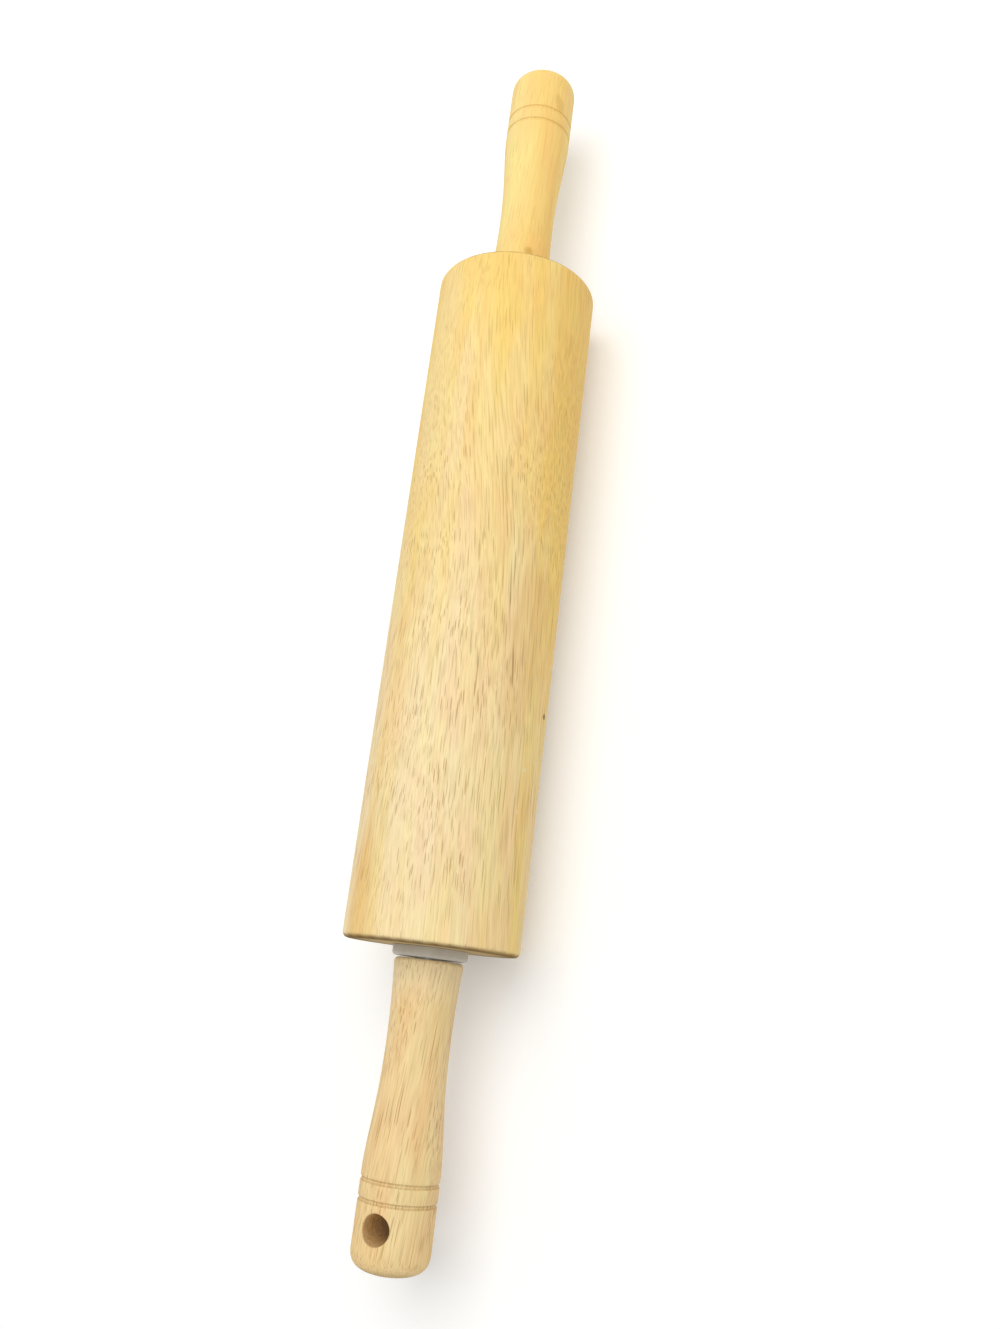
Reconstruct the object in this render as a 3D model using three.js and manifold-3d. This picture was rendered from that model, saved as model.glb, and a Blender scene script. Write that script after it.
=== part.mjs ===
// Rolling pin: a hardwood roller turns freely on a steel rod, with a turned handle glued on each end of the rod.
// Units are millimetres. +X runs along the pin from the hang-hole handle to the plain handle, +Z is up,
// and the origin is in the middle of the roller, on its axis.

import * as THREE from "three";
import { mergeVertices } from "three/addons/utils/BufferGeometryUtils.js";
import Module from "manifold-3d";

// Roller
const rollerLength = 250;
const rollerDiameter = 60;
const rollerEdgeRadius = 2;

// Axle rod
const rodDiameter = 8;
const rodEndChamfer = 0.8;
const rodDepthInHandle = 45;

// Flanged bushes
const bushWall = 3.6;
const bushSleeveLength = 18;
const bushLeadIn = 1;
const bushMouthChamfer = 0.5;
const bushFlangeDiameter = 25.4;
const bushFlangeThickness = 3.4;
const bushFlangeEdgeRadius = 1.3;

// Handles
const handleLength = 96;
const handleFaceDiameter = 23.3;
const handleFaceEdgeRadius = 1.5;
const handleWaistDiameter = 21.1;
const handleWaistFromFace = 27;
const handleWaistEase = 20;
const handleGripDiameter = 25.5;
const handleGripEase = 10;
const handleGripLand = 1;
const handleTipRound = 7;
const handleTipSideEase = 5.6;
const handleTipEndEase = 8.5;

// Grooves turned near each handle's tip
const grooveCount = 2;
const grooveFromTip = 21.5;
const grooveSpacing = 5.85;
const grooveWidth = 1.7;
const grooveWall = 0.35;
const grooveDepth = 0.4;

// Hang hole, drilled across one handle
const hangHoleDiameter = 9.5;
const hangHoleFromTip = 14;

// Clearances
const rodRunningClearance = 0.25;
const rollerBoreRelief = 1.2;
const glueGap = 0.15;
const flangeSeatGap = 0.2;
const flangeHandleGap = 0.4;
const boreEndClearance = 0.8;

// A twist drill leaves a cone of this half angle at the end of a blind bore.
const drillPointHalfAngle = THREE.MathUtils.degToRad(59);

// Sides of each round piece and steps of each curve
const rollerSides = 64;
const handleSides = 36;
const bushSides = 36;
const rodSides = 24;
const hangHoleSides = 32;
const edgeSteps = 3;
const flareSteps = 5;
const swellSteps = 9;
const tipSteps = 8;

// Sizes that follow from the ones above
const rodRadius = rodDiameter / 2;
const bushBoreRadius = rodRadius + rodRunningClearance;
const bushSleeveRadius = bushBoreRadius + bushWall;
const counterboreRadius = bushSleeveRadius + glueGap;
const counterboreDepth = bushSleeveLength - flangeSeatGap + boreEndClearance;
const rollerBoreRadius = bushBoreRadius + rollerBoreRelief;
const handleBoreRadius = rodRadius + glueGap;
const handleBoreDepth = rodDepthInHandle + boreEndClearance;
const flangeOffset = flangeSeatGap;
const handleOffset = flangeOffset + bushFlangeThickness + flangeHandleGap;
const rodLength = rollerLength + 2 * (handleOffset + rodDepthInHandle);

const wood = () => new THREE.MeshStandardMaterial({ color: 0xeacf98, roughness: 0.55, metalness: 0 });
const nylon = () => new THREE.MeshStandardMaterial({ color: 0xd6d2cd, roughness: 0.45, metalness: 0 });
const steel = () => new THREE.MeshStandardMaterial({ color: 0xb9bcbf, roughness: 0.3, metalness: 1 });

const point = (radius, along) => new THREE.Vector2(radius, along);

// A turned piece. Each point of its outline is a radius and a distance along the axis, and one flat faces down.
function turned(outline, sides) {
  return new THREE.LatheGeometry(outline, sides, Math.PI / sides);
}

// Quarter round on an outer edge, between its end face and its side, in the direction of increasing angle.
function edgeRound(centreRadius, centreAlong, edgeRadius, startAngle) {
  const endAngle = startAngle + Math.PI / 2;
  const arc = new THREE.EllipseCurve(centreRadius, centreAlong, edgeRadius, edgeRadius, startAngle, endAngle);
  return arc.getPoints(edgeSteps);
}

// Barrel with round edges, a through bore that clears the rod, and a counterbore for a bush at each end.
function rollerGeometry() {
  const end = rollerLength / 2;
  const edgeRadius = rollerDiameter / 2 - rollerEdgeRadius;
  const edgeAlong = end - rollerEdgeRadius;
  const step = end - counterboreDepth;
  return turned(
    [
      point(counterboreRadius, -end),
      ...edgeRound(edgeRadius, -edgeAlong, rollerEdgeRadius, -Math.PI / 2),
      ...edgeRound(edgeRadius, edgeAlong, rollerEdgeRadius, 0),
      point(counterboreRadius, end),
      point(counterboreRadius, step),
      point(rollerBoreRadius, step),
      point(rollerBoreRadius, -step),
      point(counterboreRadius, -step),
      point(counterboreRadius, -end),
    ],
    rollerSides,
  );
}

// Round bar, chamfered at both ends.
function rodGeometry() {
  const end = rodLength / 2;
  return turned(
    [
      point(0, -end),
      point(rodRadius - rodEndChamfer, -end),
      point(rodRadius, -end + rodEndChamfer),
      point(rodRadius, end - rodEndChamfer),
      point(rodRadius - rodEndChamfer, end),
      point(0, end),
    ],
    rodSides,
  );
}

// Moulded bush: a sleeve that goes into the roller, below 0, and a flange with a round edge that stays outside it.
function bushGeometry() {
  const mouthRadius = bushBoreRadius + bushMouthChamfer;
  const flangeEdge = bushFlangeDiameter / 2 - bushFlangeEdgeRadius;
  return turned(
    [
      point(mouthRadius, -bushSleeveLength),
      point(bushSleeveRadius - bushLeadIn, -bushSleeveLength),
      point(bushSleeveRadius, -bushSleeveLength + bushLeadIn),
      point(bushSleeveRadius, 0),
      point(bushFlangeDiameter / 2, 0),
      ...edgeRound(flangeEdge, bushFlangeThickness - bushFlangeEdgeRadius, bushFlangeEdgeRadius, 0),
      point(mouthRadius, bushFlangeThickness),
      point(bushBoreRadius, bushFlangeThickness - bushMouthChamfer),
      point(bushBoreRadius, -bushSleeveLength + bushMouthChamfer),
      point(mouthRadius, -bushSleeveLength),
    ],
    bushSides,
  );
}

// A groove in the grip's side has a flat bottom, and each of its walls slopes down over grooveWall.
function grooveOutline(middle) {
  const shoulder = grooveWidth / 2;
  const corner = shoulder - grooveWall;
  const gripRadius = handleGripDiameter / 2;
  return [
    point(gripRadius, middle - shoulder),
    point(gripRadius - grooveDepth, middle - corner),
    point(gripRadius - grooveDepth, middle + corner),
    point(gripRadius, middle + shoulder),
  ];
}

// Handle from its inner face, at 0, to its tip: a flared neck, a waist, a swell, a grooved grip and a domed end.
// A blind bore for the rod opens in the inner face.
function handleGeometry() {
  const faceRadius = handleFaceDiameter / 2;
  const waistRadius = handleWaistDiameter / 2;
  const gripRadius = handleGripDiameter / 2;
  const outerGroove = handleLength - grooveFromTip;
  const innerGroove = outerGroove - (grooveCount - 1) * grooveSpacing;
  const gripStart = innerGroove - grooveWidth / 2 - handleGripLand;
  const tipStart = handleLength - handleTipRound;
  const drillPoint = handleBoreRadius / Math.tan(drillPointHalfAngle);
  const flare = new THREE.QuadraticBezierCurve(
    point(faceRadius, handleFaceEdgeRadius),
    point(waistRadius, (handleFaceEdgeRadius + handleWaistFromFace) / 2),
    point(waistRadius, handleWaistFromFace),
  );
  const swell = new THREE.CubicBezierCurve(
    point(waistRadius, handleWaistFromFace),
    point(waistRadius, handleWaistFromFace + handleWaistEase),
    point(gripRadius, gripStart - handleGripEase),
    point(gripRadius, gripStart),
  );
  const tip = new THREE.CubicBezierCurve(
    point(gripRadius, tipStart),
    point(gripRadius, tipStart + handleTipSideEase),
    point(handleTipEndEase, handleLength),
    point(0, handleLength),
  );
  const grooves = Array.from({ length: grooveCount }, (_, i) => grooveOutline(innerGroove + i * grooveSpacing));
  return turned(
    [
      point(0, handleBoreDepth + drillPoint),
      point(handleBoreRadius, handleBoreDepth),
      point(handleBoreRadius, 0),
      ...edgeRound(faceRadius - handleFaceEdgeRadius, handleFaceEdgeRadius, handleFaceEdgeRadius, -Math.PI / 2),
      ...flare.getPoints(flareSteps).slice(1),
      ...swell.getPoints(swellSteps).slice(1),
      ...grooves.flat(),
      ...tip.getPoints(tipSteps),
    ],
    handleSides,
  );
}

const wasm = await Module();
wasm.setup();

function toSolid(geometry) {
  const bare = geometry.clone();
  bare.deleteAttribute("normal");
  bare.deleteAttribute("uv");
  const merged = mergeVertices(bare);
  return new wasm.Manifold(
    new wasm.Mesh({
      numProp: 3,
      vertProperties: merged.attributes.position.array,
      triVerts: new Uint32Array(merged.index.array),
    }),
  );
}

function cut(geometry, tool) {
  const mesh = toSolid(geometry).subtract(toSolid(tool)).getMesh();
  const result = new THREE.BufferGeometry();
  result.setAttribute("position", new THREE.BufferAttribute(mesh.vertProperties, mesh.numProp));
  result.setIndex(new THREE.BufferAttribute(mesh.triVerts, 1));
  result.computeVertexNormals();
  return result;
}

// Handle with a straight hole drilled right across it near the tip, along Z.
function drilledHandleGeometry() {
  const holeRadius = hangHoleDiameter / 2;
  const drill = new THREE.CylinderGeometry(holeRadius, holeRadius, 2 * handleGripDiameter, hangHoleSides);
  drill.rotateX(Math.PI / 2);
  drill.translate(0, handleLength - hangHoleFromTip, 0);
  return cut(handleGeometry(), drill);
}

function piece(name, geometry, material) {
  const mesh = new THREE.Mesh(geometry, material);
  mesh.name = name;
  return mesh;
}

// One end of the pin, with its own Y axis pointing away from the roller's end face.
function pinEnd(side, bush, handle) {
  const end = new THREE.Group();
  end.position.x = (side * rollerLength) / 2;
  end.rotation.z = (-side * Math.PI) / 2;
  bush.position.y = flangeOffset;
  handle.position.y = handleOffset;
  end.add(bush, handle);
  return end;
}

const roller = piece("roller", rollerGeometry(), wood());
const rod = piece("axle_rod", rodGeometry(), steel());
const middle = new THREE.Group();
middle.rotation.z = -Math.PI / 2;
middle.add(roller, rod);

const hangEnd = pinEnd(
  -1,
  piece("bush_hang_end", bushGeometry(), nylon()),
  piece("handle_with_hang_hole", drilledHandleGeometry(), wood()),
);
const plainEnd = pinEnd(
  1,
  piece("bush_plain_end", bushGeometry(), nylon()),
  piece("plain_handle", handleGeometry(), wood()),
);

const rollingPin = new THREE.Group();
rollingPin.add(middle, hangEnd, plainEnd);

export default rollingPin;
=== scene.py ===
"""Rolling pin in turned rubberwood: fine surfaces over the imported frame, its finishes, studio and camera."""

import math
from functools import partial

import bmesh
import bpy
import numpy as np
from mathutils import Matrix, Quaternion, Vector


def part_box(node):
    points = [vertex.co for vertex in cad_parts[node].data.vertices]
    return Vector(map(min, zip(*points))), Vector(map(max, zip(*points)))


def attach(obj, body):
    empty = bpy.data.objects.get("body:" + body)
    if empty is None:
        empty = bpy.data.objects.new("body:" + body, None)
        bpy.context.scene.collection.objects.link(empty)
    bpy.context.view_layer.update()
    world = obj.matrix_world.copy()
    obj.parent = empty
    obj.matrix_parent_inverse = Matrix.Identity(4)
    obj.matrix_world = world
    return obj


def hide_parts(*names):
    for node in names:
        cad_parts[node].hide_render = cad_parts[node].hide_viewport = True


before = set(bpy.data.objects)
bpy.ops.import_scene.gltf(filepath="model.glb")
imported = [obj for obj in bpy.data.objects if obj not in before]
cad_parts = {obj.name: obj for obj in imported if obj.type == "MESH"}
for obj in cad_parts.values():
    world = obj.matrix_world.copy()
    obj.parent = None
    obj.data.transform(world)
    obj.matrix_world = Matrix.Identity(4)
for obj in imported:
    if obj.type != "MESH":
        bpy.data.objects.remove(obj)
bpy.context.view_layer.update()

MM = 0.001

# Places that the frame gives, in millimetres along and across the pin
ROLLER_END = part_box("roller")[1].x / MM
ROLLER_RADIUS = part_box("roller")[1].z / MM
SLEEVE_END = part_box("bush_plain_end")[0].x / MM
FLANGE_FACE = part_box("bush_plain_end")[1].x / MM
HANDLE_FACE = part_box("plain_handle")[0].x / MM
HANDLE_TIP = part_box("plain_handle")[1].x / MM
HANDLE_LENGTH = HANDLE_TIP - HANDLE_FACE
ROD_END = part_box("axle_rod")[1].x / MM

# Roller, in millimetres, as are all sizes down to the camera
ROLLER_EDGE = 2.0
COUNTERBORE_RADIUS = 8.0
COUNTERBORE_DEPTH = 18.6
ROLLER_BORE_RADIUS = 5.45

# Axle rod
ROD_RADIUS = 4.0
ROD_CHAMFER = 0.8

# Bushes
BUSH_BORE_RADIUS = 4.25
BUSH_SLEEVE_RADIUS = 7.85
BUSH_FLANGE_RADIUS = 12.7
BUSH_FLANGE_EDGE = 1.3
BUSH_MOULD_EDGE = 0.25
BUSH_SEAT_GAP = 0.02
FLANGE_SEAT = ROLLER_END + BUSH_SEAT_GAP

# Handles, with stations counted from the inner face
FACE_RADIUS = 11.65
FACE_EDGE = 1.5
WAIST_RADIUS = 10.55
WAIST_STATION = 27.0
WAIST_EASE = 20.0
GRIP_RADIUS = 12.75
GRIP_START = 66.8
GRIP_EASE = 10.0
TIP_ROUND = 7.0
TIP_SIDE_EASE = 5.6
TIP_END_EASE = 8.5
HANDLE_BORE_RADIUS = 4.15
HANDLE_BORE_DEPTH = 45.8
DRILL_POINT = 2.5

# Grooves and hang hole
GROOVES_FROM_TIP = np.array([27.35, 21.5])
GROOVE_STATIONS = HANDLE_LENGTH - GROOVES_FROM_TIP
GROOVE_WIDTH = 1.7
GROOVE_WALL = 0.5
GROOVE_DEPTH = 0.4
HOLE_FROM_TIP = 14.0
HOLE_STATION = HANDLE_LENGTH - HOLE_FROM_TIP
HOLE_RADIUS = 4.75
HOLE_MOUTH_ROUND = 0.35

# Fineness of the surfaces. The hang hole and its skins take up two windows, rectangles of a handle's grid.
ROLLER_SIDES = 256
HANDLE_SIDES = 192
BUSH_SIDES = 160
ROD_SIDES = 96
EDGE_STEPS = 10
END_FACE_STEPS = 12
MOULD_EDGE_STEPS = 6
FLANGE_EDGE_STEPS = 14
FLARE_STEPS = 24
SWELL_STEPS = 40
TIP_STEPS = 28
GROOVE_STEPS = 21
WINDOW_COLUMNS = 32
WINDOW_ROWS = 26
WINDOW_HALF_LENGTH = 6.6
SKIN_STEPS = 9
MOUTH_STEPS = 8
WALL_STEPS = 24
MERGE_DISTANCE = 0.001
SHARP_ANGLE = 40

# End grain, which starts to show at 0.5 and is barest at 1.5. A power below 1 takes it further round edges.
END_GRAIN = 0.95
# By the roller's rims the end grain is darkened further, as painted shade.
RIM_PAINTED_SHADE = 0.5
RIM_SHADE_FADE = 6.0
EDGE_POWER = 0.8
# Down the hang hole the end grain is darkened towards the bottom, as painted shade.
HOLE_END_GRAIN_AND_SHADE = 1.2

# Painted shade in the corners of the grooves and down the hang hole, as a share of its full darkening
HOLE_PAINTED_SHADE = 0.95
HANG_GROOVE_SHADE = 0.4
PLAIN_GROOVE_SHADE = 0.12
GROOVE_SHADE_FADE = 0.6 * GROOVE_WALL

# Wood. Flecks, fibres, vessels and painted shade multiply its colour by one brown.
WOOD_BROWN = "#967300"
RING_SPACING = 5.236
VESSEL_SPACING = 0.56

# Camera, in millimetres and degrees, with the lens for a frame of CAMERA_FRAME
CAMERA_AT = (-136.6, -191.4, 359.9)
CAMERA_AIM = (-25.8, -12.5, 0.0)
CAMERA_ROLL = 54.75
CAMERA_LENS = 32.0
CAMERA_FRAME = 36.0
CAMERA_NEAREST = 10.0

# Studio, in metres and watts. The floor's glow is given as a distance from the pin and a strength there.
FLOOR_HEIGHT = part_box("roller")[0].z
FLOOR_HALF_SIZE = 3.0
NEAR_GLOW = (0.35, 0.2)
FAR_GLOW = (1.6, 0.7)
KEY_LIGHT_AT = (0.35, -0.1, 1.3)
KEY_LIGHT_SIZE = 1.2
KEY_LIGHT_WATTS = 11.1
ROOM_LIGHT = 0.56


def linear(hex_colour):
    """An sRGB hex colour as linear red, green, blue and alpha."""
    srgb = np.array([int(hex_colour[i:i + 2], 16) for i in (1, 3, 5)]) / 255
    rgb = np.where(srgb <= 0.04045, srgb / 12.92, ((srgb + 0.055) / 1.055) ** 2.4)
    return (*rgb, 1.0)


def new_material(name):
    """An empty node material, and the function that adds nodes to it."""
    material = bpy.data.materials.new(name)
    return material, empty_tree(material)


def empty_tree(owner):
    """Empties the node tree of a material or a world, and gives the function that adds nodes to it."""
    owner.use_nodes = True
    owner.node_tree.nodes.clear()
    return partial(add_node, owner.node_tree)


def add_node(tree, kind, inputs=(), **settings):
    """Adds a shader node with its settings, and sets or links its inputs.

    An input is named by its place or its label, and takes a value, a socket, or a node's first output in use.
    """
    node = tree.nodes.new("ShaderNode" + kind)
    for name, value in settings.items():
        setattr(node, name, value)
    for key, value in dict(inputs).items():
        labelled = [socket for socket in node.inputs if socket.enabled and socket.name == key]
        socket = labelled[0] if labelled else node.inputs[key]
        if isinstance(value, bpy.types.Node):
            value = next(output for output in value.outputs if output.enabled)
        if isinstance(value, bpy.types.NodeSocket):
            tree.links.new(value, socket)
        else:
            socket.default_value = value
    return node


# Curves of an outline, each as an array of (station, radius)

def arc(station, radius, edge, start, end, steps):
    """Points of a circle of radius edge about (station, radius), from one angle to another in degrees."""
    angle = np.radians(np.linspace(start, end, steps))
    return np.stack([station + edge * np.cos(angle), radius + edge * np.sin(angle)], -1)


def bezier(controls, steps):
    """Bezier curve: the control points weighted by the Bernstein polynomials of their degree."""
    controls = np.array(controls, float)
    degree = len(controls) - 1
    t = np.linspace(0, 1, steps)[:, None]
    weights = [math.comb(degree, k) * t ** k * (1 - t) ** (degree - k) for k in range(degree + 1)]
    return sum(weight * control for weight, control in zip(weights, controls))


def straight(station_a, station_b, radius, steps):
    """Points of a straight stretch at one radius."""
    return np.stack([np.linspace(station_a, station_b, steps), np.full(steps, radius)], -1)


def groove(middle):
    """Flat-bottomed dip in the grip, whose walls ease in and out over GROOVE_WALL."""
    across = np.linspace(-GROOVE_WIDTH / 2, GROOVE_WIDTH / 2, GROOVE_STEPS)
    side = np.clip((GROOVE_WIDTH / 2 - np.abs(across)) / GROOVE_WALL, 0, 1)
    depth = GROOVE_DEPTH * side ** 2 * (3 - 2 * side)
    return np.stack([middle + across, GRIP_RADIUS - depth], -1)


def roller_outline():
    """Closed outline of the barrel: from the middle of its bore round one end, and back by the other."""
    edge_radius = ROLLER_RADIUS - ROLLER_EDGE
    step = ROLLER_END - COUNTERBORE_DEPTH
    face = np.linspace(COUNTERBORE_RADIUS, edge_radius, END_FACE_STEPS)[:-1]
    half = np.concatenate([
        [(0, ROLLER_BORE_RADIUS), (step, ROLLER_BORE_RADIUS), (step, COUNTERBORE_RADIUS)],
        np.stack([np.full_like(face, ROLLER_END), face], -1),
        arc(ROLLER_END - ROLLER_EDGE, edge_radius, ROLLER_EDGE, 0, 90, EDGE_STEPS),
    ])
    return np.concatenate([half, half[::-1] * (-1, 1)])


def rod_outline():
    """Outline of the round bar from the middle of one end face to the middle of the other, both chamfered."""
    half = np.array([
        (0, ROD_RADIUS),
        (ROD_END - ROD_CHAMFER, ROD_RADIUS),
        (ROD_END, ROD_RADIUS - ROD_CHAMFER),
        (ROD_END, 0),
    ])
    return np.concatenate([half[::-1] * (-1, 1), half])


def bush_outline():
    """Closed outline of the bush at the plain end: a sleeve in the roller, a round-edged flange outside."""
    flange_edge = BUSH_FLANGE_RADIUS - BUSH_FLANGE_EDGE
    seat_edge = BUSH_FLANGE_RADIUS - BUSH_MOULD_EDGE
    return np.concatenate([
        [(SLEEVE_END, BUSH_BORE_RADIUS), (SLEEVE_END, BUSH_SLEEVE_RADIUS), (FLANGE_SEAT, BUSH_SLEEVE_RADIUS)],
        arc(FLANGE_SEAT + BUSH_MOULD_EDGE, seat_edge, BUSH_MOULD_EDGE, 180, 90, MOULD_EDGE_STEPS),
        arc(FLANGE_FACE - BUSH_FLANGE_EDGE, flange_edge, BUSH_FLANGE_EDGE, 90, 0, FLANGE_EDGE_STEPS),
        [(FLANGE_FACE, BUSH_BORE_RADIUS), (SLEEVE_END, BUSH_BORE_RADIUS)],
    ])


def handle_outline():
    """Outline of a handle from the end of its bore to its tip, with stations counted from its inner face."""
    bore_end = HANDLE_BORE_DEPTH + DRILL_POINT
    flare_middle = (FACE_EDGE + WAIST_STATION) / 2
    window = (HOLE_STATION - WINDOW_HALF_LENGTH, HOLE_STATION + WINDOW_HALF_LENGTH)
    tip_start = HANDLE_LENGTH - TIP_ROUND
    flare = [(FACE_EDGE, FACE_RADIUS), (flare_middle, WAIST_RADIUS), (WAIST_STATION, WAIST_RADIUS)]
    swell = [(WAIST_STATION, WAIST_RADIUS), (WAIST_STATION + WAIST_EASE, WAIST_RADIUS),
             (GRIP_START - GRIP_EASE, GRIP_RADIUS), (GRIP_START, GRIP_RADIUS)]
    tip = [(tip_start, GRIP_RADIUS), (tip_start + TIP_SIDE_EASE, GRIP_RADIUS),
           (HANDLE_LENGTH, TIP_END_EASE), (HANDLE_LENGTH, 0)]
    return np.concatenate([
        [(bore_end, 0), (HANDLE_BORE_DEPTH, HANDLE_BORE_RADIUS), (0, HANDLE_BORE_RADIUS)],
        arc(FACE_EDGE, FACE_RADIUS - FACE_EDGE, FACE_EDGE, 180, 90, EDGE_STEPS),
        bezier(flare, FLARE_STEPS)[1:],
        bezier(swell, SWELL_STEPS)[1:],
        *[groove(station) for station in GROOVE_STATIONS],
        straight(*window, GRIP_RADIUS, WINDOW_ROWS + 1),
        bezier(tip, TIP_STEPS),
    ])


# Meshes

def turn(outline, sides):
    """Surface of revolution about X: point (i, j) is point i of the outline, turned from +Z by j steps."""
    angle = 2 * math.pi * np.arange(sides) / sides
    station, radius = outline[:, :1], outline[:, 1:]
    return np.stack([
        np.broadcast_to(station, (len(outline), sides)),
        radius * np.sin(angle),
        radius * np.cos(angle),
    ], -1)


def quads(rows, columns, first=0):
    """Corner numbers of the quads of a grid that closes round its columns, numbered row by row from first."""
    row = np.arange(rows - 1)[:, None]
    column = np.arange(columns)[None, :]
    here = first + row * columns + column
    beside = first + row * columns + (column + 1) % columns
    return np.stack([here, beside, beside + columns, here + columns], -1)


def make_piece(name, points, faces, material, body, slot, node, **attributes):
    """Closed mesh of quads from points in millimetres, with seams and poles merged and faces outwards."""
    mesh = bpy.data.meshes.new(name)
    mesh.from_pydata((points.reshape(-1, 3) * MM).tolist(), [], faces.reshape(-1, 4).tolist())
    for key, values in attributes.items():
        mesh.attributes.new(key, "FLOAT", "POINT").data.foreach_set("value", values)
    shell = bmesh.new()
    shell.from_mesh(mesh)
    bmesh.ops.remove_doubles(shell, verts=shell.verts, dist=MERGE_DISTANCE * MM)
    bmesh.ops.recalc_face_normals(shell, faces=shell.faces)
    shell.to_mesh(mesh)
    shell.free()
    mesh.polygons.foreach_set("use_smooth", np.ones(len(mesh.polygons), bool))
    mesh.set_sharp_from_angle(angle=math.radians(SHARP_ANGLE))
    mesh.materials.append(material)
    piece = bpy.data.objects.new(name, mesh)
    bpy.context.scene.collection.objects.link(piece)
    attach(piece, body)
    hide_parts(node)


def end_grain(outline):
    """How squarely the outline cuts the fibres: 0 along a side, 1 across an end."""
    step = np.gradient(outline, axis=0)
    return np.abs(step[:, 1]) / np.hypot(step[:, 0], step[:, 1])


def groove_stain(station):
    """Painted shade in the two lower corners of each groove: 1 there, fading in a bell curve over
    GROOVE_SHADE_FADE.
    """
    away = np.abs(station[:, None] - GROOVE_STATIONS).min(1)
    corner = GROOVE_WIDTH / 2 - GROOVE_WALL
    return np.exp(-((away - corner) / GROOVE_SHADE_FADE) ** 2)


def make_roller(material):
    """Turned barrel. Painted shade darkens its end grain towards the rims, in a bell curve over
    RIM_SHADE_FADE.
    """
    outline = roller_outline()
    rim = np.exp(-((ROLLER_RADIUS - outline[:, 1]) / RIM_SHADE_FADE) ** 2)
    bare_and_shaded = end_grain(outline) ** EDGE_POWER * (END_GRAIN + RIM_PAINTED_SHADE * rim)
    across = np.repeat(bare_and_shaded, ROLLER_SIDES)
    make_piece("roller_barrel", turn(outline, ROLLER_SIDES), quads(len(outline), ROLLER_SIDES), material,
               "barrel", "roller_wood", "roller", end_grain=across, stain=np.zeros(len(across)))


def make_rod(material):
    """Round bar through the roller, into both handles."""
    outline = rod_outline()
    make_piece("drawn_axle_rod", turn(outline, ROD_SIDES), quads(len(outline), ROD_SIDES), material,
               "handles", "rod_steel", "axle_rod")


def make_bush(name, node, side, material):
    """Moulded bush for one end of the roller."""
    outline = bush_outline()
    points = turn(outline, BUSH_SIDES) * (side, 1, 1)
    make_piece(name, points, quads(len(outline), BUSH_SIDES), material, "barrel", "bush_nylon", node)


def hole_surface():
    """The hang hole and the skin round it, as two grids round the hole's axis in the handle's own stations.

    In plan a skin runs straight from the edge of the mouth to the window's rectangle, on the grip's cylinder.
    The wall rounds over at each mouth, and runs straight between the two.
    """
    half = WINDOW_HALF_LENGTH
    side_angle = 2 * math.pi / HANDLE_SIDES * np.arange(-WINDOW_COLUMNS // 2, WINDOW_COLUMNS // 2 + 1)
    across = GRIP_RADIUS * np.sin(side_angle)
    along = np.linspace(-half, half, WINDOW_ROWS + 1)
    rim = np.concatenate([
        np.stack([along[:-1], np.full(WINDOW_ROWS, across[0])], -1),
        np.stack([np.full(WINDOW_COLUMNS, half), across[:-1]], -1),
        np.stack([along[:0:-1], np.full(WINDOW_ROWS, across[-1])], -1),
        np.stack([np.full(WINDOW_COLUMNS, -half), across[:0:-1]], -1),
    ])
    direction = rim / np.hypot(rim[:, :1], rim[:, 1:])
    mouth = HOLE_RADIUS + HOLE_MOUTH_ROUND
    share = np.linspace(0, 1, SKIN_STEPS)[:, None, None]
    skin_plan = (1 - share) * mouth * direction + share * rim
    skin_height = np.sqrt(GRIP_RADIUS ** 2 - skin_plan[..., 1] ** 2)
    bend = np.radians(np.linspace(0, 90, MOUTH_STEPS))[:, None]
    mouth_height = skin_height[0] - HOLE_MOUTH_ROUND * (1 - np.cos(bend))
    mouth_radius = HOLE_RADIUS + HOLE_MOUTH_ROUND * (1 - np.sin(bend))
    depth = np.linspace(1, -1, WALL_STEPS)[1:-1, None]
    wall_height = np.concatenate([mouth_height, depth * mouth_height[-1], -mouth_height[::-1]])
    wall_radius = np.concatenate([mouth_radius, np.full_like(depth, HOLE_RADIUS), mouth_radius[::-1]])
    wall_plan = wall_radius[..., None] * direction
    skin = np.concatenate([skin_plan + (HOLE_STATION, 0), skin_height[..., None]], -1)
    wall = np.concatenate([wall_plan + (HOLE_STATION, 0), wall_height[..., None]], -1)
    return skin, wall


def in_windows(outline):
    """Which quads of a handle lie in its two windows, on top and underneath."""
    station = outline[:, 0]
    middle = (station[:-1] + station[1:]) / 2
    in_length = np.abs(middle - HOLE_STATION) < WINDOW_HALF_LENGTH
    column = np.arange(HANDLE_SIDES) + 0.5
    from_top = np.minimum(column, HANDLE_SIDES - column)
    from_under = np.abs(column - HANDLE_SIDES / 2)
    in_width = np.minimum(from_top, from_under) < WINDOW_COLUMNS / 2
    return in_length[:, None] & in_width


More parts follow.
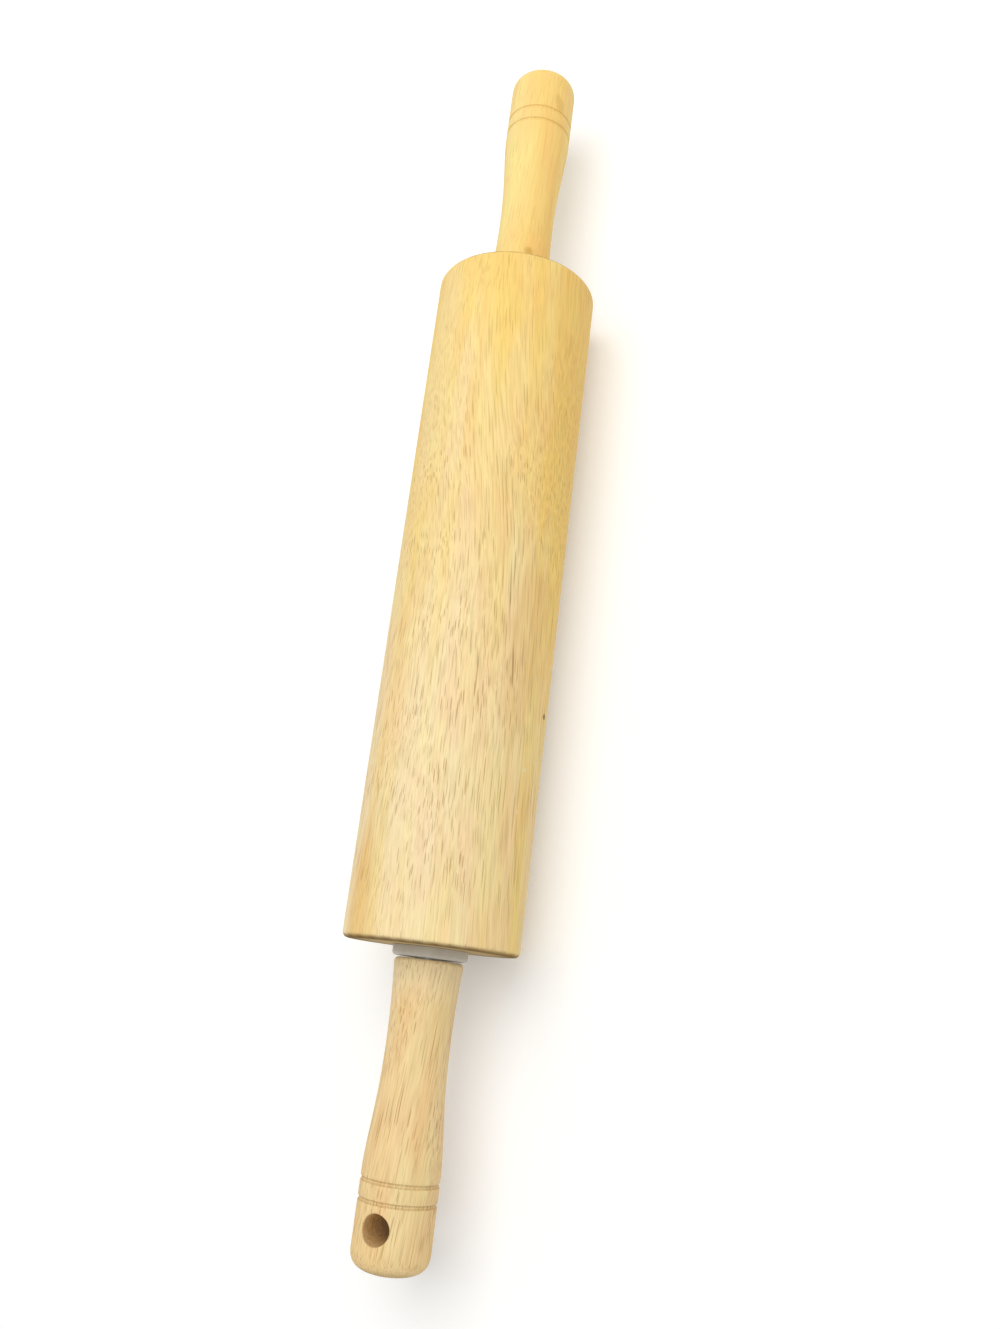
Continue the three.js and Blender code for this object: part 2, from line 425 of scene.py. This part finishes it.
def make_handle(name, node, side, material, groove_shade_share, drilled):
    """Turned handle. If it is drilled, the quads of its windows give way to the hang hole and its skins."""
    outline = handle_outline()
    points = turn(outline, HANDLE_SIDES).reshape(-1, 3)
    faces = quads(len(outline), HANDLE_SIDES)
    across = np.repeat(END_GRAIN * end_grain(outline), HANDLE_SIDES)
    # Painted shade in the lower corners of the grooves
    stain = np.repeat(groove_shade_share * groove_stain(outline[:, 0]), HANDLE_SIDES)
    if drilled:
        skin, wall = hole_surface()
        patches = [skin, skin * (1, 1, -1), wall]
        first = len(points) + np.cumsum([0] + [patch[..., 0].size for patch in patches])
        patch_faces = [quads(*patch.shape[:2], start).reshape(-1, 4) for patch, start in zip(patches, first)]
        faces = np.concatenate([faces[~in_windows(outline)], *patch_faces])
        points = np.concatenate([points, *[patch.reshape(-1, 3) for patch in patches]])
        clean_skins = np.zeros(2 * skin[..., 0].size)
        # The hole's wall is end grain, and darkens towards its bottom mouth as painted shade.
        depth = (1 - wall[..., 2].ravel() / GRIP_RADIUS) / 2
        across = np.concatenate([across, clean_skins, HOLE_END_GRAIN_AND_SHADE * depth])
        stain = np.concatenate([stain, clean_skins, HOLE_PAINTED_SHADE * depth])
    points = (points + (HANDLE_FACE, 0, 0)) * (side, 1, 1)
    make_piece(name, points, faces, material, "handles", "handle_wood", node, end_grain=across, stain=stain)


# Finishes

def per_size(length, width, height):
    """Scale of a pattern whose features have this length, width and height."""
    return 1 / length, 1 / width, 1 / height


def grain_space(add, here, slant, place, sways):
    """Millimetres with X along the fibres, and the slow noise by which the fibres wander.

    The fibres are turned by slant in degrees and shifted by place, and each sway carries them sideways
    between two stations, by a distance. They wander up and down more than sideways, so that the surface cuts
    the vessels into dashes of many lengths.
    """
    swing = (0.0, 2.2, 3.2)
    turned = [math.radians(angle) for angle in slant]
    grain = add("Mapping", {"Vector": here, "Rotation": turned, "Location": place})
    for low, high, distance in sways:
        station = add("SeparateXYZ", {0: here})
        aside = add("MapRange", {"Value": station, "From Min": low, "From Max": high, "To Max": distance},
                    interpolation_type="SMOOTHSTEP")
        grain = add("VectorMath", {0: grain, 1: add("CombineXYZ", {"Y": aside})}, operation="SUBTRACT")
    slow = add("VectorMath", {0: grain, 1: per_size(45, 20, 20)}, operation="MULTIPLY")
    wander = add("TexNoise", {"Vector": slow, "Scale": 1.0, "Detail": 1.5})
    fibre = add("VectorMath", {0: wander.outputs["Color"], 1: swing, 2: grain}, operation="MULTIPLY_ADD")
    return fibre, wander


def golden_tone(add, here, fibre, wander, drifts):
    """How golden the wood is, from 0 to 1.

    Golden wood lies in growth layers about 9 mm thick, and where the drifts put it; the roller's drift along
    its length is painted warm light. Each drift warms the tone from one distance to another along a direction,
    by an amount, and its edge wavers by 4.5 mm either way.
    """
    waver = 9.0
    layer = add("VectorMath", {0: fibre, 1: per_size(170, 14, 9)}, operation="MULTIPLY")
    bands = add("TexNoise", {"Vector": layer, "Scale": 1.0, "Detail": 2.0})
    tone = add("MapRange", {"Value": bands, "From Min": 0.35, "From Max": 0.75, "To Max": 0.6})
    for direction, low, high, amount in drifts:
        reach = add("VectorMath", {0: here, 1: direction}, operation="DOT_PRODUCT")
        reach = add("Math", {0: wander, 1: waver, 2: reach}, operation="MULTIPLY_ADD")
        warmth = add("MapRange", {"Value": reach, "From Min": low + waver / 2, "From Max": high + waver / 2,
                                  "To Max": amount}, interpolation_type="SMOOTHSTEP")
        tone = add("Math", {0: tone, 1: warmth}, operation="ADD", use_clamp=True)
    return tone


def rubberwood(name, pale, golden, figure, slant, place, sways=(), drifts=(), quiet=(), marks=()):
    """Sanded rubberwood under a thin satin finish: pale straw, with brown vessels that open as short dashes.

    pale and golden are its two tones, and drifts say where it is golden. slant, place and sways lay the
    grain. figure is how strongly the flecks, fibres and vessels show, and each quiet stretch fades them from
    one distance to another along a direction, by an amount. Each mark is a streak, knot, nick or patch of
    painted light: an ellipsoid with a centre, half sizes, a turn about Z in degrees, a colour and a strength.
    """
    material, add = new_material(name)
    here = add("Mapping", {"Vector": add("TexCoord").outputs["Object"], "Scale": (1 / MM,) * 3})
    fibre, wander = grain_space(add, here, slant, place, sways)
    tone = golden_tone(add, here, fibre, wander, drifts)
    colour = add("Mix", {"Factor": tone, "A": linear(pale), "B": linear(golden)}, data_type="RGBA")

    # A faint blush comes and goes along the fibres, in streaks about 7 mm wide and 28 mm long.
    blush_place = add("VectorMath", {0: fibre, 1: per_size(28, 7, 7)}, operation="MULTIPLY")
    blush = add("TexNoise", {"Vector": blush_place, "Scale": 1.0, "Detail": 2.5})
    blush = add("MapRange", {"Value": blush, "From Min": 0.32, "From Max": 0.68})
    colour = add("Mix", {"Factor": blush, "A": colour, "B": linear("#fff4f8")}, data_type="RGBA",
                 blend_type="MULTIPLY")

    for centre, half_sizes, slew, mark_colour, strength in marks:
        inside = add("Mapping", {"Vector": here, "Location": centre, "Rotation": (0, 0, math.radians(slew)),
                                 "Scale": half_sizes}, vector_type="TEXTURE")
        away = add("VectorMath", {0: inside}, operation="LENGTH")
        cover = add("MapRange", {"Value": away, "From Min": 0.4, "To Min": strength, "To Max": 0.0},
                    interpolation_type="SMOOTHSTEP")
        colour = add("Mix", {"Factor": cover, "A": colour, "B": linear(mark_colour)}, data_type="RGBA")

    show = figure
    for direction, low, high, amount in quiet:
        reach = add("VectorMath", {0: here, 1: direction}, operation="DOT_PRODUCT")
        fade = add("MapRange", {"Value": reach, "From Min": low, "From Max": high, "To Min": 1.0,
                                "To Max": 1 - amount}, interpolation_type="SMOOTHSTEP")
        show = add("Math", {0: show, 1: fade}, operation="MULTIPLY")

    # Flecks 0.6 mm wide and 14 mm long, and fibres 0.4 mm wide and 50 mm long, shade the wood a little.
    fleck_place = add("VectorMath", {0: fibre, 1: per_size(14, 0.6, 0.6)}, operation="MULTIPLY")
    fleck = add("TexNoise", {"Vector": fleck_place, "Scale": 1.0, "Detail": 2.0})
    streak_place = add("VectorMath", {0: fibre, 1: per_size(50, 0.4, 0.4)}, operation="MULTIPLY")
    streak = add("TexNoise", {"Vector": streak_place, "Scale": 1.0, "Detail": 2.0})
    for lines, amount in ((fleck, 0.23), (streak, 0.11)):
        shade = add("MapRange", {"Value": lines, "From Min": 0.38, "From Max": 0.75, "To Max": amount})
        shade = add("Math", {0: shade, 1: show}, operation="MULTIPLY")
        colour = add("Mix", {"Factor": shade, "A": colour, "B": linear(WOOD_BROWN)}, data_type="RGBA",
                     blend_type="MULTIPLY")

    # End grain drinks the finish and turns darker, and shows growth rings round a pith 60 mm away.
    # The rings of a wave texture are pi / 10 apart at a scale of 1.
    # The brown is deeper than the wood's own end grain, partly as painted shade.
    across = add("Attribute", attribute_name="end_grain").outputs["Fac"]
    across = add("MapRange", {"Value": across, "From Min": 0.5, "From Max": 1.5, "To Max": 0.9},
                 interpolation_type="SMOOTHSTEP")
    pith = add("Mapping", {"Vector": fibre, "Location": (0, 48, -36)})
    rings = add("TexWave", {"Vector": pith, "Scale": math.pi / 10 / RING_SPACING, "Distortion": 2.0,
                            "Detail": 2.0, "Detail Scale": 0.5}, wave_type="RINGS", rings_direction="X")
    late_wood = add("Math", {0: rings, 1: across}, operation="MULTIPLY")
    late_wood = add("Math", {0: late_wood, 1: 0.5}, operation="MULTIPLY")
    colour = add("Mix", {"Factor": across, "A": colour, "B": linear("#755926")}, data_type="RGBA")
    colour = add("Mix", {"Factor": late_wood, "A": colour, "B": linear("#6a4818")}, data_type="RGBA")

    # Vessels are up to 20 mm long. They are drawn 0.35 mm wide, twice their real width, so that they show.
    # Each lies in a cell 50 times as long as wide, and has a depth of its own. Golden wood is closer grained.
    tubes = add("VectorMath", {0: fibre, 1: per_size(50, 1, 1)}, operation="MULTIPLY")
    cells = add("TexVoronoi", {"Vector": tubes, "Scale": 1 / VESSEL_SPACING})
    hollow = add("MapRange", {"Value": cells, "From Min": 0.25, "From Max": 0.36, "To Min": 1.0,
                              "To Max": 0.0}, interpolation_type="SMOOTHSTEP")
    by_vessel = add("SeparateColor", {0: cells.outputs["Color"]})
    depth = add("MapRange", {"Value": by_vessel, "To Min": 0.12, "To Max": 0.56})
    open_grain = add("MapRange", {"Value": tone, "To Min": 1.0, "To Max": 0.65})
    vessel = hollow
    for share in (depth, open_grain, show):
        vessel = add("Math", {0: vessel, 1: share}, operation="MULTIPLY")
    colour = add("Mix", {"Factor": vessel, "A": colour, "B": linear(WOOD_BROWN)}, data_type="RGBA",
                 blend_type="MULTIPLY")

    # Painted shade in the corners of the grooves and down in the hole, made uneven by the flecks.
    stain = add("Attribute", attribute_name="stain").outputs["Fac"]
    shade_mottle = add("MapRange", {"Value": fleck, "From Min": 0.35, "From Max": 0.6, "To Min": 0.6})
    stain = add("Math", {0: stain, 1: shade_mottle}, operation="MULTIPLY")
    colour = add("Mix", {"Factor": stain, "A": colour, "B": linear(WOOD_BROWN)}, data_type="RGBA",
                 blend_type="MULTIPLY")

    # Vessels and end grain are rougher than the finished sides, and vessels and fibres lie a little deeper.
    rough = add("MapRange", {"Value": vessel, "To Min": 0.6, "To Max": 0.75})
    rough = add("Math", {0: across, 1: 0.5, 2: rough}, operation="MULTIPLY_ADD", use_clamp=True)
    relief = add("Math", {0: streak, 1: 0.2, 2: vessel}, operation="MULTIPLY_ADD")
    bump = add("Bump", {"Height": relief, "Strength": 0.12, "Distance": 0.03 * MM}, invert=True)
    shader = add("BsdfPrincipled", {"Base Color": colour, "Roughness": rough, "IOR": 1.5,
                                    "Specular IOR Level": 0.25, "Normal": bump})
    add("OutputMaterial", {"Surface": shader})
    return material


def moulded_nylon():
    """Off-white nylon from a mould, faintly mottled, with a soft sheen; its darker grey is painted shade."""
    material, add = new_material("moulded_nylon")
    here = add("TexCoord").outputs["Object"]
    mottle = add("TexNoise", {"Vector": here, "Scale": 1 / (2.5 * MM), "Detail": 3.0})
    colour = add("Mix", {"Factor": mottle, "A": linear("#b7b0a3"), "B": linear("#cbc5b8")}, data_type="RGBA")
    grit = add("TexNoise", {"Vector": here, "Scale": 1 / (0.3 * MM), "Detail": 2.0})
    bump = add("Bump", {"Height": grit, "Strength": 0.2, "Distance": 0.03 * MM})
    shader = add("BsdfPrincipled", {"Base Color": colour, "Roughness": 0.42, "IOR": 1.53, "Normal": bump})
    add("OutputMaterial", {"Surface": shader})
    return material


def drawn_steel():
    """Bright drawn steel bar: fine scratches along its length, drawn 0.15 mm wide so that they show."""
    material, add = new_material("drawn_steel")
    here = add("TexCoord").outputs["Object"]
    along = add("Mapping", {"Vector": here, "Scale": per_size(12 * MM, 0.15 * MM, 0.15 * MM)})
    scratch = add("TexNoise", {"Vector": along, "Scale": 1.0, "Detail": 2.0})
    colour = add("Mix", {"Factor": scratch, "A": linear("#aaadb0"), "B": linear("#c8cbce")}, data_type="RGBA")
    rough = add("MapRange", {"Value": scratch, "To Min": 0.22, "To Max": 0.4})
    bump = add("Bump", {"Height": scratch, "Strength": 0.2, "Distance": 0.01 * MM})
    shader = add("BsdfPrincipled", {"Base Color": colour, "Metallic": 1.0, "Roughness": rough,
                                    "Normal": bump})
    add("OutputMaterial", {"Surface": shader})
    return material


# Studio

def seen_rays(add):
    """1 for a ray that shows the background to the camera, also by reflection, and 0 for one that lights."""
    path = add("LightPath")
    seen = add("Math", {0: path.outputs["Is Camera Ray"], 1: path.outputs["Is Glossy Ray"]},
               operation="MAXIMUM")
    return add("Math", {0: seen, 1: path.outputs["Is Transmission Ray"]}, operation="MAXIMUM")


def make_floor():
    """Pale floor that the pin lies on. A glow, seen only by the camera and in reflections, lifts it to white.

    The glow grows away from the pin, where the lamp fades.
    """
    half, level = FLOOR_HALF_SIZE, FLOOR_HEIGHT
    near, near_glow = NEAR_GLOW
    far, far_glow = FAR_GLOW
    mesh = bpy.data.meshes.new("floor")
    corners = [(-half, -half, level), (half, -half, level), (half, half, level), (-half, half, level)]
    mesh.from_pydata(corners, [], [(0, 1, 2, 3)])
    material, add = new_material("pale_floor")
    away = add("VectorMath", {0: add("TexCoord").outputs["Object"]}, operation="LENGTH")
    lift = add("MapRange", {"Value": away, "From Min": near, "From Max": far, "To Min": near_glow,
                            "To Max": far_glow})
    glow = add("Math", {0: seen_rays(add), 1: lift}, operation="MULTIPLY")
    shader = add("BsdfPrincipled", {"Base Color": linear("#f0f0ef"), "Roughness": 0.9,
                                    "Specular IOR Level": 0.1, "Emission Color": linear("#ffffff"),
                                    "Emission Strength": glow})
    add("OutputMaterial", {"Surface": shader})
    mesh.materials.append(material)
    floor = bpy.data.objects.new("floor", mesh)
    bpy.context.scene.collection.objects.link(floor)


def make_key_light():
    """Square soft lamp overhead, which faces the middle of the pin."""
    lamp = bpy.data.lights.new("key", "AREA")
    lamp.size = KEY_LIGHT_SIZE
    lamp.energy = KEY_LIGHT_WATTS
    light = bpy.data.objects.new("key", lamp)
    light.location = KEY_LIGHT_AT
    light.rotation_euler = (-Vector(KEY_LIGHT_AT)).to_track_quat("-Z", "Y").to_euler()
    bpy.context.scene.collection.objects.link(light)


def make_room():
    """Soft light from all round, of strength ROOM_LIGHT, behind a white background."""
    world = bpy.data.worlds.new("studio")
    add = empty_tree(world)
    strength = add("MapRange", {"Value": seen_rays(add), "To Min": ROOM_LIGHT})
    background = add("Background", {"Color": linear("#ffffff"), "Strength": strength})
    add("OutputWorld", {"Surface": background})
    bpy.context.scene.world = world


def make_camera():
    """Camera at the photograph's place, turned about its own axis by CAMERA_ROLL."""
    camera = bpy.data.objects.new("camera", bpy.data.cameras.new("camera"))
    camera.data.lens = CAMERA_LENS
    camera.data.sensor_width = CAMERA_FRAME
    camera.data.clip_start = CAMERA_NEAREST * MM
    place, aim = Vector(CAMERA_AT) * MM, Vector(CAMERA_AIM) * MM
    level = (aim - place).to_track_quat("-Z", "Y")
    camera.location = place
    camera.rotation_euler = (level @ Quaternion((0, 0, 1), -math.radians(CAMERA_ROLL))).to_euler()
    bpy.context.scene.collection.objects.link(camera)
    bpy.context.scene.camera = camera


make_camera()
make_room()
make_key_light()
make_floor()

roller_wood = rubberwood(
    "rubberwood_roller", "#feedbc", "#fddd7e", figure=1.1, slant=(0, 4, -0.5), place=(40, 13, 7),
    sways=[(-10, 110, 12)],
    # The drift along X, golden towards the plain end, is painted warm light; the sideways drifts are tone.
    drifts=[((1, 0, 0), -75, 130, 0.72), ((0, 1, 0), 11, 17, 0.12), ((0, -1, 0), 21, 30, 0.35)],
    quiet=[((-1, 0, 0), 80, 120, 0.2), ((1, 0, 0), 40, 115, 0.33)],
    marks=[
        # An amber streak, with brown strokes in it and beside it
        ((-24, -27, 13), (45, 8, 10), -3, "#ebb76c", 0.35),
        ((-31, -25.3, 16.0), (12, 0.25, 1.8), 3.6, "#8a5a1e", 0.6),
        ((-5, -22.7, 19.6), (17, 0.3, 1.8), 3.4, "#9a6a2a", 0.45),
        ((-36.5, -16.8, 24.85), (8, 0.3, 1.5), 0.9, "#9a6a2a", 0.45),
        # Amber along the side by the hang end
        ((-108, 12, 28), (45, 9, 9), 0, "#efcd8a", 0.2),
        ((-116, 15, 26), (36, 7.5, 9), 0, "#f0bd5a", 0.45),
        ((-66, 15.5, 26), (30, 4.5, 8), 0, "#f3bd58", 0.15),
        # Pale streaks along the top
        ((78, 13, 27), (75, 12, 12), 0, "#ffeab0", 0.5),
        ((58, 1.5, 30), (48, 5, 8), 0, "#fff2cc", 0.3),
        ((66, -17, 25), (38, 6, 8), 0, "#fff0c8", 0.22),
        ((-70, 3, 30), (85, 6, 8), 0, "#ffeec6", 0.35),
        # One side browner by the plain end, and the other pale all along
        ((105, -32, 4), (95, 12, 24), 0, "#dca048", 0.15),
        ((25, 36, -14), (210, 30, 36), 0, "#f5dfae", 0.5),
        # A small knot, and two pale nicks
        ((-43.5, -29.6, -4.6), (1.4, 1.2, 1.6), 0, "#3f3120", 0.9),
        ((-64.5, -29.5, 5.7), (1.0, 1.0, 0.5), 0, "#fff6da", 0.8),
        ((-79.0, -29.1, 7.3), (0.8, 1.0, 0.5), 0, "#fff6da", 0.8),
    ],
)
hang_wood = rubberwood(
    "rubberwood_hang_handle", "#fbe3a9", "#f2cb80", figure=1.05, slant=(0, -4, 3), place=(510, 61, 33),
    drifts=[((-1, 0, 0), 185, 215, 0.18)],
    marks=[
        # Two amber streaks, a pale one beside the hole, and painted light that lifts the shade on the neck
        ((-143, 2, 10.9), (9, 2.4, 5), -5, "#e6ab5e", 0.25),
        ((-183, 5, 11.3), (14, 2.6, 5), -4, "#e6b066", 0.28),
        ((-208, -7.5, 10.3), (26, 5.5, 6), 0, "#fdecb4", 0.5),
        ((-129, 0, 0), (20, 22, 22), 0, "#fff0c6", 0.6),
    ],
)
# A lit copy of the handle wood, lighter and yellower with less figure: painted light on the plain end.
plain_wood_painted_lit = rubberwood(
    "rubberwood_plain_handle_painted_lit", "#fff0a0", "#fdd478", figure=0.42, slant=(0, 2, 2), place=(90, 7, 71),
    drifts=[((0, -1, 0), -9, 12, 0.52), ((-1, 0, 0), -165, -135, 0.25)],
    marks=[
        # A scuff by the roller's rim, and a smudge by the grooves
        ((138, -6.8, 8.4), (3.0, 2.1, 2.4), 20, "#cca345", 0.6),
        ((207.5, -11, 6.5), (5.5, 2.0, 3.5), 12, "#c9963f", 0.25),
    ],
)
nylon = moulded_nylon()

make_roller(roller_wood)
make_rod(drawn_steel())
make_bush("bush_collar_hang_end", "bush_hang_end", -1, nylon)
make_bush("bush_collar_plain_end", "bush_plain_end", 1, nylon)
make_handle("turned_hang_handle", "handle_with_hang_hole", -1, hang_wood, HANG_GROOVE_SHADE, drilled=True)
make_handle("turned_plain_handle", "plain_handle", 1, plain_wood_painted_lit, PLAIN_GROOVE_SHADE, drilled=False)

bpy.context.scene.view_settings.view_transform = "Standard"
